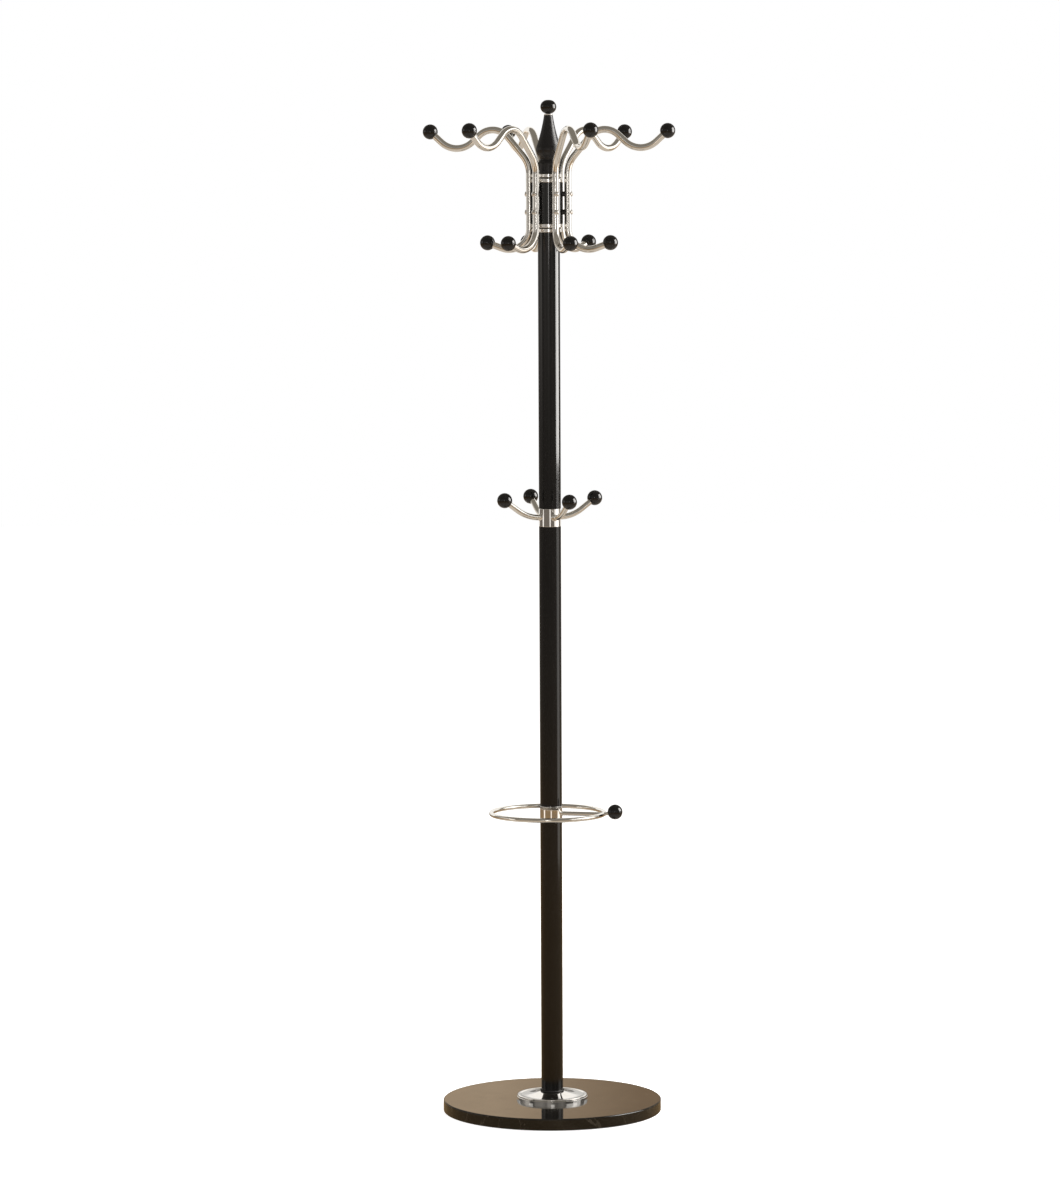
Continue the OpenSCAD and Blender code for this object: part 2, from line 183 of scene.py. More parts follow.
def softened(corners, steps=6):
    """A closed outline whose corners (r, z, radius) are arcs, with a guard point beside each arc so
    that the flat stretches stay flat in the shading."""
    guard = 1.2
    outline = []
    for i, (x, z, radius) in enumerate(corners):
        here = Vector((x, z))
        if radius == 0:
            outline.append((x, z))
            continue
        back = (Vector(corners[i - 1][:2]) - here).normalized()
        ahead = (Vector(corners[(i + 1) % len(corners)][:2]) - here).normalized()
        half = back.angle(ahead) / 2
        reach = radius / tan(half)
        centre = here + (back + ahead).normalized() * (radius / sin(half))
        start = here + back * reach - centre
        way = 1 if back.x * ahead.y - back.y * ahead.x < 0 else -1
        outline.append(tuple(here + back * reach * guard))
        for s in range(steps + 1):
            turn = Matrix.Rotation(way * (pi - 2 * half) * s / steps, 2)
            outline.append(tuple(centre + turn @ start))
        outline.append(tuple(here + ahead * reach * guard))
    return outline


def ring_outline(r_out, r_in, bottom, top, edge):
    """The section of a ring or a tube with soft outer edges."""
    return softened([(r_in, bottom, 0), (r_out, bottom, edge), (r_out, top, edge), (r_in, top, 0)])


# ---- Shapes: a shape is a list of points and a list of faces ----

def bridge(first, second):
    """Faces between two rings of point numbers; a ring of one number is a pole."""
    count = max(len(first), len(second))
    faces = []
    for i in range(count if count > 1 else 0):
        j = (i + 1) % count
        corners = (first[i % len(first)], first[j % len(first)],
                   second[j % len(second)], second[i % len(second)])
        faces.append(list(dict.fromkeys(corners)))
    return faces


def skin(rings, closed):
    """A surface through rings of points."""
    points, numbered = [], []
    for ring in rings:
        numbered.append(range(len(points), len(points) + len(ring)))
        points += ring
    pairs = list(zip(numbered, numbered[1:]))
    if closed:
        pairs.append((numbered[-1], numbered[0]))
    return points, [face for first, second in pairs for face in bridge(first, second)]


def full_turn(count):
    """Angles evenly round a full turn, in radians."""
    return [2 * pi * i / count for i in range(count)]


def lathe(outline, sides=96):
    """A closed outline of (radius, height), turned about +Z."""
    rings = []
    for r, z in outline:
        turns = full_turn(sides if r > 0 else 1)
        rings.append([Vector((r * cos(t), r * sin(t), z)) for t in turns])
    return skin(rings, closed=True)


def hoops(path, r, sides, side_of, closed):
    """Rings of points round a path. side_of(point) is a direction that isn't along the path."""
    rings = []
    last = len(path) - 1
    for i, here in enumerate(path):
        ahead = path[(i + 1) % len(path)] if closed else path[min(i + 1, last)]
        back = path[i - 1] if closed else path[max(i - 1, 0)]
        along = (ahead - back).normalized()
        side = side_of(here)
        side = (side - along * side.dot(along)).normalized()
        up = along.cross(side)
        rings.append([here + (side * cos(t) + up * sin(t)) * r for t in full_turn(sides)])
    return rings


def sideways(point):
    """The direction at any point that isn't along a path in the XZ plane."""
    return Vector((0, 1, 0))


def rod(path, r):
    """A solid round rod along a path in the XZ plane."""
    rings = hoops(path, r, ROD_SIDES, sideways, closed=False)
    return skin([[path[0]], *rings, [path[-1]]], closed=False)


def tube(path, r, wall):
    """A round tube along a path in the XZ plane, open at both ends."""
    outer = hoops(path, r, TUBE_SIDES, sideways, closed=False)
    inner = hoops(path, r - wall, TUBE_SIDES, sideways, closed=False)
    return skin(outer + inner[::-1], closed=True)


def hoop(path, r, sides, side_of):
    """A closed loop of round wire."""
    return skin(hoops(path, r, sides, side_of, closed=True), closed=True)


def moved(shape, matrix):
    """The shape in another place."""
    points, faces = shape
    return [matrix @ p for p in points], faces


def joined(shapes):
    """Several shapes as one."""
    points, faces = [], []
    for more_points, more_faces in shapes:
        faces += [[number + len(points) for number in face] for face in more_faces]
        points += more_points
    return points, faces


def scratch_object(shape):
    """An object that only lasts while a shape is carved."""
    mesh = bpy.data.meshes.new("scratch")
    mesh.from_pydata(shape[0], [], shape[1])
    obj = bpy.data.objects.new("scratch", mesh)
    bpy.context.scene.collection.objects.link(obj)
    return obj


def carved(shape, cutter):
    """The shape with the cutter taken away from it."""
    solid, tool = scratch_object(shape), scratch_object(cutter)
    cut = solid.modifiers.new("cut", "BOOLEAN")
    cut.operation = "DIFFERENCE"
    cut.solver = "EXACT"
    cut.object = tool
    result = solid.evaluated_get(bpy.context.evaluated_depsgraph_get())
    points = [v.co.copy() for v in result.data.vertices]
    faces = [list(p.vertices) for p in result.data.polygons]
    bpy.data.objects.remove(solid)
    bpy.data.objects.remove(tool)
    return points, faces


def turned(angle, x=0, z=0):
    """A move to (x, 0, z), and then a turn about +Z."""
    return Matrix.Rotation(radians(angle), 4, "Z") @ Matrix.Translation((x, 0, z))


def around(count, start, x=0):
    """Evenly spaced places round +Z, each x away from it."""
    return [turned(start + 360 / count * i, x) for i in range(count)]


def leaning(angle):
    """A turn that leans +Z towards +X."""
    return Matrix.Rotation(radians(angle), 4, "Y")


def walk(steps, x, z, heading):
    """Points along bends (radius, turn) and runs (length, 0) in the XZ plane, and the heading at
    their end. The heading is counted from +Z, and grows towards +X."""
    degrees_a_point = 4
    points = [Vector((x, 0, z))]
    for size, turn in steps:
        start, way = points[-1], radians(heading)
        along = Vector((sin(way), 0, cos(way)))
        if turn == 0:
            points.append(start + along * size)
            continue
        side = Vector((cos(way), 0, -sin(way))) * (1 if turn > 0 else -1)
        count = max(4, round(abs(turn) / degrees_a_point))
        for i in range(1, count + 1):
            t = radians(abs(turn)) * i / count
            points.append(start + side * size * (1 - cos(t)) + along * size * sin(t))
        heading += turn
    return points, heading


def seated(points):
    """A path that stops short of its knob's centre."""
    end = points[-1]
    short = (points[-2] - end).normalized() * knob_seat
    return points[:-1] + [end + short]


def piece(node, *shapes):
    """One fine mesh, made of shapes, that stands for a CAD node and rides on its body."""
    points, faces = joined(shapes)
    mesh = bpy.data.meshes.new("fine_" + node)
    mesh.from_pydata([p * MM for p in points], [], faces)
    mesh.shade_smooth()
    mesh.set_sharp_from_angle(angle=radians(SHARP_ANGLE))
    obj = bpy.data.objects.new("fine_" + node, mesh)
    bpy.context.scene.collection.objects.link(obj)
    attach(obj, BODY[node])
    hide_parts(node)
    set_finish(obj, SLOT[node])


def round_piece(node, r_out, r_in, edge, sides=128):
    """A ring, a tube or a sleeve with soft outer edges, as high as its CAD node."""
    piece(node, lathe(ring_outline(r_out, r_in, low(node, Z), high(node, Z), edge), sides))


# ---- Base ----

def base_disc():
    """The stone: a polished disc with eased edges, a counterbore and recesses for the feet."""
    outline = softened([
        (bolt_hole_r, counterbore_top, 0), (counterbore_r, counterbore_top, 0),
        (counterbore_r, base_under, 0), (base_r, base_under, stone_edge),
        (base_r, base_top, stone_edge), (bolt_hole_r, base_top, 0)], steps=10)
    below = -1
    recess = lathe([(0, below), (recess_r, below), (recess_r, recess_top), (0, recess_top)], 64)
    places = around(foot_count, foot_turn, foot_spread)
    recesses = joined([moved(recess, place) for place in places])
    piece("base_disc", carved(lathe(outline, 192), recesses))


def base_feet():
    """Rubber pads round a screw hole, with two moulded grooves in the face that meets the floor."""
    top = high("base_feet", Z)
    edge = 0.8
    groove_depth, groove_width, groove_side = 0.5, 1.2, 0.3
    outline = [(foot_screw_r, edge), (foot_screw_r + edge, 0)]
    for r in (6.5, 9.5):
        outline += [(r, 0), (r + groove_side, groove_depth)]
        outline += [(r + groove_width - groove_side, groove_depth), (r + groove_width, 0)]
    outline += arc(foot_r - edge, edge, edge, -90, 0, 5)
    outline += arc(foot_r - edge, top - edge, edge, 0, 90, 5)
    outline += [(foot_screw_r, top)]
    foot = lathe(outline, 64)
    places = around(foot_count, foot_turn, foot_spread)
    piece("base_feet", *[moved(foot, place) for place in places])


def base_flange():
    """The chrome cover: a stepped rim, a flat lip, a groove, and a cover that rises to the post.
    Its outline is counted from the stone's top face, and inwards from its own rim."""
    wall = 1.4
    rim_h, rim_edge = 4.3, 0.3
    step_in, step_h = 0.8, 4.9
    lip_in, lip_h, lip_edge = 6.4, 8, 1.6
    ease_in, ease_down = 0.4, 0.2
    groove_in, groove_h = 7.2, 7.3
    sweep_in, sweep_r = 7.8, 103
    room_h = 4.6
    sweep_x = flange_r - sweep_in
    sweep_end = -90 - degrees(asin((sweep_x - post_r) / sweep_r))
    outer = [(flange_r, 0), (flange_r, rim_h)]
    outer += arc(flange_r - rim_edge, rim_h, rim_edge, 0, 90, 3)
    outer += [(flange_r - step_in, step_h), (flange_r - step_in, lip_h - lip_edge)]
    outer += arc(flange_r - step_in - lip_edge, lip_h - lip_edge, lip_edge, 0, 90, 8)
    outer += [(flange_r - lip_in, lip_h), (flange_r - lip_in - ease_in, lip_h - ease_down)]
    outer += [(flange_r - groove_in, groove_h)]
    sweep = arc(sweep_x, groove_h + sweep_r, sweep_r, -90, sweep_end, 28)
    sweep = [point for point in sweep if point[0] > post_bore_r]
    outer += sweep + [(post_bore_r, flange_rise)]
    inner = [(post_bore_r, flange_rise - wall)]
    inner += [(x, z - wall) for x, z in reversed(sweep)]
    inner += [(flange_r - wall, room_h), (flange_r - wall, 0)]
    piece("base_flange", moved(lathe(outer + inner, 160), Matrix.Translation((0, 0, base_top))))


# ---- Umbrella ring ----

def saddle_bead(rod_radius, host_radius, bead_radius, upright_host):
    """A weld bead where a rod along +X leaves a round bar, upright or along Y, on the origin."""
    path = []
    for t in full_turn(48):
        y, z = rod_radius * cos(t), rod_radius * sin(t)
        out = sqrt(host_radius ** 2 - (y if upright_host else z) ** 2)
        path.append(Vector((out, y, z)))
    return hoop(path, bead_radius, 16, lambda p: Vector((0, p.y, p.z)))


def ring_crossing():
    """How far from the post's axis the arm's line meets the ring's wire."""
    turn = radians(arm_turn)
    return ring_centre_x * cos(turn) + sqrt(ring_r ** 2 - (ring_centre_x * sin(turn)) ** 2)


def umbrella_ring():
    """A flat ring of round wire."""
    path = [Vector((ring_centre_x + ring_r * cos(t), ring_r * sin(t), ring_z))
            for t in full_turn(160)]
    piece("umbrella_ring", hoop(path, wire_r, 32, lambda p: Vector((0, 0, 1))))


def ring_arm():
    """The arm, which ends inside the ring's wire, with its weld beads at the collar and the ring."""
    reach = ring_crossing()
    sunk = 1
    bead_in = 0.05           # the bead at the ring starts just inside the arm's surface
    path = [Vector((arm_start, 0, 0)), Vector((reach - sunk, 0, 0))]
    collar_bead = saddle_bead(arm_r, collar_r, bead_radius=1.1, upright_host=True)
    ring_bead = saddle_bead(arm_r - bead_in, wire_r, bead_radius=0.9, upright_host=False)
    place = turned(arm_turn, z=ring_z)
    at_ring = place @ turned(180, -reach)
    piece("ring_arm", moved(joined([rod(path, arm_r), collar_bead]), place), moved(ring_bead, at_ring))


def at_stub(lean):
    """Where the stub leaves the ring's wire. A lean of 0 points +X to the knob, and 90 points +Z."""
    return turned(arm_turn, ring_crossing(), ring_z) @ leaning(lean - stub_rise)


def ring_knob_stub():
    """The short rod between the ring's wire and its knob, with its weld bead."""
    inside_wire = 2
    path = [Vector((0, 0, inside_wire)), Vector((0, 0, stub_length - knob_seat))]
    bead = saddle_bead(stub_r, wire_r, bead_radius=0.8, upright_host=False)
    piece("ring_knob_stub", moved(rod(path, stub_r), at_stub(90)), moved(bead, at_stub(0)))


# ---- Knobs ----

def knob(rod_radius):
    """A ball about the origin with the bore for its rod from below, a soft mouth, and the faint
    raised line where its mould parted."""
    mouth_r = rod_radius + FIT
    lip = 0.5
    soft_out, soft_down = 0.3 * lip, 0.25 * lip
    line_r = knob_r + parting_out
    rim = sqrt(knob_r ** 2 - (mouth_r + lip) ** 2)
    start = degrees(atan2(-rim, mouth_r + lip))
    outline = [(0, -knob_seat), (mouth_r, -knob_seat), (mouth_r, -rim + lip)]
    outline += [(mouth_r + soft_out, -rim + soft_down)]
    outline += arc(0, 0, knob_r, start, -1, 30)
    outline += [(line_r, -parting_half), (line_r, parting_half)]
    outline += arc(0, 0, knob_r, 1, POLE, 34) + [(0, knob_r)]
    return lathe(outline, 72)


def ring_knob():
    """The ball beside the ring."""
    piece("ring_knob", moved(knob(stub_r), at_stub(90) @ Matrix.Translation((0, 0, stub_length))))


# ---- Mid hooks ----

def mid_hooks():
    """Four bent rods on the collar, each welded to it, and their knobs."""
    points, heading = walk(mid_arm, collar_r, mid_z, 90)
    sunk = 2
    inside = Vector((collar_r - sunk, 0, mid_z))
    bead = saddle_bead(mid_rod_r, collar_r, bead_radius=1.0, upright_host=True)
    hook = joined([rod([inside] + seated(points), mid_rod_r), moved(bead, turned(0, z=mid_z))])
    ball = moved(knob(mid_rod_r), Matrix.Translation(points[-1]) @ leaning(heading))
    turns = around(mid_count, mid_turn)
    for i, turn in enumerate(turns, 1):
        piece(f"mid_hook_{i}", moved(hook, turn))
    piece("mid_knobs", *[moved(ball, turn) for turn in turns])


# ---- Crown ----

def trim_ring(node, r_in):
    """A chrome ring with well rounded edges, as wide and as high as its CAD node."""
    round_piece(node, high(node, X), r_in, trim_edge)


def top_spacer():
    """The black cap that carries on the post's line and tapers to the finial's foot."""
    bottom, top, r = low("top_spacer", Z), high("top_spacer", Z), high("top_spacer", X)
    hollow_r, tenon_bore_r = 15, 5 + FIT
    cap_h, taper_in = 5, 3
    outline = softened([
        (hollow_r, bottom, 0), (r, bottom, 0.4), (r, top - cap_h, 1.5), (r - taper_in, top, 0.6),
        (tenon_bore_r, top, 0), (tenon_bore_r, top - cap_h, 0), (hollow_r, top - cap_h, 0)])
    piece("top_spacer", lathe(outline, 128))


def finial():
    """Turned: a foot, a full belly, and a flank that hollows in to the neck."""
    bottom, top = low("finial", Z), high("finial", Z)
    foot_out, foot_h, foot_edge, foot_draft = 14.8, 2.4, 0.4, 0.2
    belly_x, belly_z, belly_r, belly_start = 6.1, bottom + 18, 15.5, -50
    flank_r, leave = 320, 18.8
    flank_x = belly_x + (belly_r + flank_r) * cos(radians(leave))
    flank_z = belly_z + (belly_r + flank_r) * sin(radians(leave))
    arrive = degrees(asin((flank_z - top) / flank_r))
    outline = [(0, bottom), (foot_out - foot_edge, bottom), (foot_out, bottom + foot_edge)]
    outline += [(foot_out - foot_draft, bottom + foot_h)]
    outline += arc(belly_x, belly_z, belly_r, belly_start, leave, 30)
    outline += arc(flank_x, flank_z, flank_r, 180 + leave, 180 + arrive, 30)
    piece("finial", lathe(outline + [(0, top)], 112))


def finial_ball():
    """A ball that is a little wider than it is high, with the mould's parting line."""
    bottom, top = low("finial_ball", Z), high("finial_ball", Z)
    r = (top - bottom) / 2
    centre_x, centre_z = high("finial_ball", X) - r, (top + bottom) / 2
    line_x = centre_x + r + parting_out
    line_gap = 1.2
    outline = [(0, bottom)] + arc(centre_x, centre_z, r, -POLE, -line_gap, 28)
    outline += [(line_x, centre_z - parting_half), (line_x, centre_z + parting_half)]
    outline += arc(centre_x, centre_z, r, line_gap, POLE, 28) + [(0, top)]
    piece("finial_ball", lathe(outline))


def recess_cutter(half_x, half_y):
    """A block that cuts one arm of a screw's cross recess and narrows towards its floor."""
    floor, above = 1.2, 4
    narrow, wide = 0.55, 1.35
    corners = [Vector((x * half_x * share, y * half_y * share, z))
               for z, share in ((floor, narrow), (above, wide))
               for x, y in ((-1, -1), (1, -1), (1, 1), (-1, 1))]
    points, sides = skin([corners[:4], corners[4:]], closed=False)
    return points, sides + [[3, 2, 1, 0], [4, 5, 6, 7]]


def screw_head():
    """A domed head with a cross recess, its top towards +Z, seated on a tube below the origin."""
    foot, top, dome_r = -1.6, 2.6, 6
    chamfer, chamfer_turn = 0.25, 2
    dome_z = top - dome_r
    edge = dome_z + sqrt(dome_r ** 2 - screw_head_r ** 2)
    start = degrees(atan2(edge - dome_z, screw_head_r)) + chamfer_turn
    outline = [(0, foot), (screw_head_r, foot), (screw_head_r, edge - chamfer)]
    outline += arc(0, dome_z, dome_r, start, POLE, 12) + [(0, top)]
    head = lathe(outline, 40)
    for half_x, half_y in ((2.5, 0.5), (0.5, 2.5)):
        head = carved(head, recess_cutter(half_x, half_y))
    return head


def double_hooks():
    """Six bent tubes, each one piece from its upper knob down to its lower one, with their knobs and
    the screws that hold them to the hub."""
    up, up_heading = walk(upper_arm, hook_r, upright_z, 0)
    down, down_heading = walk(lower_arm, hook_r, upright_z, 180)
    hook = tube(seated(down)[::-1] + seated(up)[1:], tube_r, tube_wall)
    upper_ball = moved(knob(tube_r), Matrix.Translation(up[-1]) @ leaning(up_heading))
    lower_ball = moved(knob(tube_r), Matrix.Translation(down[-1]) @ leaning(down_heading))
    head = screw_head()
    hook_spin, level_spin = 37, 61   # each screw was driven home at another angle
    screws = []
    for i, turn in enumerate(around(hook_count, crown_turn)):
        piece(f"double_hook_{i + 1}", moved(hook, turn))
        piece(f"upper_knob_{i + 1}", moved(upper_ball, turn))
        piece(f"lower_knob_{i + 1}", moved(lower_ball, turn))
        for k, level in enumerate(screw_levels):
            seat = Matrix.Translation((hook_r + tube_r, 0, level)) @ leaning(90)
            screws.append(moved(head, turn @ seat @ turned(hook_spin * i + level_spin * k)))
    piece("hook_screws", *screws)


# ---- Materials ----

def mixed(tree, share, first, second):
    """A colour between two in a node tree; each is a colour or another node's output."""
    node = tree.nodes.new("ShaderNodeMix")
    node.data_type = "RGBA"
    tree.links.new(share, node.inputs[0])
    for socket, colour in ((node.inputs[6], first), (node.inputs[7], second)):
        if isinstance(colour, tuple):
            socket.default_value = (*colour, 1)
        else:
            tree.links.new(colour, socket)
    return node.outputs[2]


def scaled(shade, gain):
    """A colour made brighter or darker."""
    return tuple(c * gain for c in shade)


class Surface:
    """A material with one Principled shader, and short calls for the nodes that feed it."""

    def __init__(self, name, **values):
        self.material = bpy.data.materials.new(name)
        self.material.use_nodes = True
        self.nodes = self.material.node_tree.nodes
        self.links = self.material.node_tree.links
        self.shader = self.nodes["Principled BSDF"]
        for socket, value in values.items():
            self.shader.inputs[socket.replace("_", " ")].default_value = value
        self.place = self.nodes.new("ShaderNodeTexCoord").outputs["Object"]

    def stretched(self, scale):
        """The place on the object, scaled by (x, y, z)."""
        mapping = self.nodes.new("ShaderNodeMapping")
        mapping.inputs["Scale"].default_value = scale
        self.links.new(self.place, mapping.inputs["Vector"])
        return mapping.outputs["Vector"]

    def noise(self, scale, detail, stretch=None, distortion=0.0):
        """Cloudy noise from 0 to 1, with the place stretched by (x, y, z) if that is given."""
        node = self.nodes.new("ShaderNodeTexNoise")
        node.inputs["Scale"].default_value = scale
        node.inputs["Detail"].default_value = detail
        node.inputs["Distortion"].default_value = distortion
        self.links.new(self.stretched(stretch) if stretch else self.place, node.inputs["Vector"])
        return node.outputs["Fac"]

    def cells(self, scale):
        """How far a point is from the nearest of scattered points."""
        node = self.nodes.new("ShaderNodeTexVoronoi")
        node.inputs["Scale"].default_value = scale
        self.links.new(self.place, node.inputs["Vector"])
        return node.outputs["Distance"]

    def remap(self, value, low_in, high_in, low_out, high_out):
        """The value, carried from one range to another."""
        node = self.nodes.new("ShaderNodeMapRange")
        for socket, number in (("From Min", low_in), ("From Max", high_in),
                               ("To Min", low_out), ("To Max", high_out)):
            node.inputs[socket].default_value = number
        self.links.new(value, node.inputs["Value"])
        return node.outputs["Result"]

    def mix(self, share, first, second):
        """A colour between two; each is a colour or another node's output."""
        return mixed(self.material.node_tree, share, first, second)

    def feed(self, socket, value):
        """Links a value to the shader."""
        self.links.new(value, self.shader.inputs[socket])

    def bump(self, height, strength, depth):
        """Relief from a height of 0 to 1, depth metres deep."""
        node = self.nodes.new("ShaderNodeBump")
        node.inputs["Strength"].default_value = strength
        node.inputs["Distance"].default_value = depth
        self.links.new(height, node.inputs["Height"])
        self.feed("Normal", node.outputs["Normal"])


def chrome(name, shade, roughness):
    """Bright plating: a faint waviness, a thin uneven haze, and a slightly uneven tone."""
    s = Surface(name, Metallic=1.0)
    haze = s.noise(140, detail=5)
    s.feed("Base Color", s.mix(s.remap(haze, 0.35, 0.65, 0, 1), shade, scaled(shade, 0.95)))
    s.feed("Roughness", s.remap(haze, 0.4, 0.7, roughness, roughness * 2))
    s.bump(s.noise(55, detail=1), strength=0.25, depth=0.0004)
    return s.material


def gloss_paint(name, shade, roughness):
    """Sprayed and baked black paint: orange peel, and an uneven gloss where it was wiped."""
    s = Surface(name, Coat_Weight=0.15, Coat_Roughness=0.03)
    wiped = s.noise(18, detail=4, stretch=(1, 1, 0.25))
    s.feed("Base Color", s.mix(wiped, shade, scaled(shade, 1.5)))
    s.feed("Roughness", s.remap(wiped, 0.35, 0.7, roughness, roughness * 1.7))
    s.bump(s.noise(170, detail=1), strength=0.05, depth=0.0001)
    return s.material


def gloss_plastic(name, shade, roughness):
    """Moulded black plastic: hairline scratches and a trace of handling."""
    s = Surface(name)
    handled = s.noise(90, detail=4)
    s.feed("Base Color", s.mix(handled, shade, scaled(shade, 1.6)))
    s.feed("Roughness", s.remap(handled, 0.4, 0.7, roughness, roughness * 2.2))
    s.bump(s.noise(900, detail=3, stretch=(1, 1, 0.1)), strength=0.08, depth=0.00005)
    return s.material


def satin_plastic(name, shade, roughness):
    """Turned and lacquered: fine rings left by the lathe under a satin coat."""
    s = Surface(name)
    grain = s.noise(160, detail=4, stretch=(0.15, 0.15, 3))
    s.feed("Base Color", s.mix(grain, shade, scaled(shade, 1.7)))
    s.feed("Roughness", s.remap(grain, 0.3, 0.7, roughness, roughness * 1.35))
    s.bump(grain, strength=0.15, depth=0.0001)
    return s.material


def black_stone(name):
    """Polished black stone: cloudy ground, thin broken veins, and a few bright grains."""
    s = Surface(name)
    cloud = s.remap(s.noise(9, detail=6, distortion=0.6), 0.35, 0.75, 0, 1)
    ground = s.mix(cloud, (0.0055, 0.005, 0.0042), (0.016, 0.0135, 0.0105))
    course = s.noise(5.5, detail=8, stretch=(0.45, 1.6, 1), distortion=1.6)
    vein = s.remap(course, 0.497, 0.503, 0, 1)
    edge = s.remap(course, 0.503, 0.512, 1, 0)
    line = s.nodes.new("ShaderNodeMath")
    line.operation = "MULTIPLY"
    s.links.new(vein, line.inputs[0])
    s.links.new(edge, line.inputs[1])
    veined = s.mix(s.remap(line.outputs[0], 0, 1, 0, 0.5), ground, (0.06, 0.05, 0.038))
    grains = s.remap(s.cells(520), 0.03, 0.12, 0.5, 0)
    s.feed("Base Color", s.mix(grains, veined, (0.05, 0.043, 0.034)))
    s.feed("Roughness", s.remap(s.noise(30, detail=5), 0.35, 0.7, 0.05, 0.11))
    s.bump(s.noise(12, detail=2), strength=0.05, depth=0.0003)
    return s.material


def rubber(name):
    """Moulded black rubber with a fine grain."""
    s = Surface(name)
    grain = s.noise(1800, detail=3)
    s.feed("Base Color", s.mix(grain, (0.018, 0.018, 0.018), (0.05, 0.048, 0.045)))
    s.feed("Roughness", s.remap(grain, 0.3, 0.7, 0.7, 0.9))
    s.bump(grain, strength=0.4, depth=0.0001)
    return s.material


def zinc_steel(name):
    """Plated steel: mottled, with fine turning marks."""
    s = Surface(name, Metallic=1.0)
    mottle = s.noise(220, detail=5)
    s.feed("Base Color", s.mix(mottle, (0.42, 0.43, 0.44), (0.62, 0.62, 0.60)))
    s.feed("Roughness", s.remap(mottle, 0.3, 0.7, 0.25, 0.45))
    s.bump(s.noise(500, detail=2, stretch=(0.2, 0.2, 4)), strength=0.2, depth=0.0001)
    return s.material


def black_trim(name):
    """Plain black plastic with a fine grain."""
    s = Surface(name)
    grain = s.noise(1300, detail=2)
    s.feed("Base Color", s.mix(grain, (0.012, 0.012, 0.012), (0.03, 0.029, 0.028)))
    s.feed("Roughness", s.remap(grain, 0.3, 0.7, 0.38, 0.55))
    s.bump(grain, strength=0.2, depth=0.00006)
    return s.material


def nylon(name):
    """Off-white bearing plastic, slightly cloudy."""
    s = Surface(name, Subsurface_Weight=0.1)
    cloud = s.noise(120, detail=3)
    s.feed("Base Color", s.mix(cloud, (0.66, 0.64, 0.58), (0.78, 0.76, 0.70)))
    s.feed("Roughness", s.remap(cloud, 0.3, 0.7, 0.4, 0.55))
    s.bump(s.noise(700, detail=2), strength=0.1, depth=0.00005)
    return s.material


def make_materials():
    """One material for each slot of the record."""
    return {
        "base_stone": black_stone("base_stone"),
        "foot_rubber": rubber("foot_rubber"),
        "steel": zinc_steel("steel"),
        "chrome_trim": chrome("chrome_trim", (0.90, 0.88, 0.85), 0.05),
        "chrome_tube": chrome("chrome_tube", (0.88, 0.86, 0.82), 0.09),
        "screw_chrome": chrome("screw_chrome", (0.88, 0.86, 0.83), 0.12),
        "post_black": gloss_paint("post_black", (0.0045, 0.0041, 0.0038), 0.07),
        "hub_black": gloss_paint("hub_black", (0.004, 0.0038, 0.0036), 0.06),
        "finial_black": satin_plastic("finial_black", (0.0055, 0.005, 0.0052), 0.28),
        "knob_black": gloss_plastic("knob_black", (0.004, 0.0037, 0.0036), 0.06),
        "black_trim": black_trim("black_trim"),
        "bush_plastic": nylon("bush_plastic"),
    }


def dress(materials):
    """Gives every shown piece, fine or carried over from CAD, the material of its slot."""
    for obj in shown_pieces():
        material = materials[slot_of(obj)]
        if not obj.material_slots:
            obj.data.materials.append(material)
        for place in obj.material_slots:
            place.material = material


# ---- Stage, light and camera, in metres ----

FLOOR_HALF = 14.0                    # half the floor's side
FLOOR_GLOW = 0.95
CHROME = ("chrome_trim", "chrome_tube", "screw_chrome")    # the slots of the plated pieces
WHITE = (1.0, 1.0, 1.0)
DAYLIGHT = (1.0, 0.98, 0.95)
ROOM_TINT = (1.0, 0.945, 0.875)
FAR_FLOOR = (0.32, 0.205, 0.095)     # the floor towards the room's walls
NEAR_FLOOR = (0.62, 0.55, 0.47)      # the floor round the object
SKIRTING = (0.16, 0.14, 0.12)        # the dark foot of the walls
UPPER_ROOM = (0.22, 0.20, 0.17)      # above the walls
# The heights, as the Z of a direction, between which one of these tones goes over to the next.
NEAR_TO_FAR = (-0.75, -0.25)
FAR_TO_SKIRTING = (-0.15, -0.10)
SKIRTING_TO_WALLS = (-0.06, -0.01)
WALLS_TO_UPPER = (0.22, 0.36)
# Brightness of the room's walls, by angle from the camera's side: -90 is left and 90 is right. The
# brightest band is a narrow window at the left, and the next one is beside the camera.
ROOM = [
    (-180, 0.20), (-150, 0.22), (-122, 0.30), (-104, 0.60), (-97, 1.0), (-83, 1.0), (-76, 0.20),
    (-66, 0.14), (-56, 0.42), (-34, 0.46), (-20, 0.30), (-13, 0.62), (-5, 0.60), (2, 0.30),
    (14, 0.20), (34, 0.38), (48, 0.14), (62, 0.20), (116, 0.25), (142, 0.26), (160, 0.22),
    (180, 0.20)]

LENS_MM = 146.23
CAMERA_PLACE = (-0.0351, -8.2997, 1.6347)
CAMERA_DOWN = 4.99                   # how far the camera looks down, in degrees
CAMERA_ROLL = -0.25


def flat_panel(name, corners):
    """A rectangle of stage, from its four corners."""
    mesh = bpy.data.meshes.new(name)
    mesh.from_pydata(corners, [], [(0, 1, 2, 3)])
    obj = bpy.data.objects.new(name, mesh)
    bpy.context.scene.collection.objects.link(obj)
    obj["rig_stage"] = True
    return obj


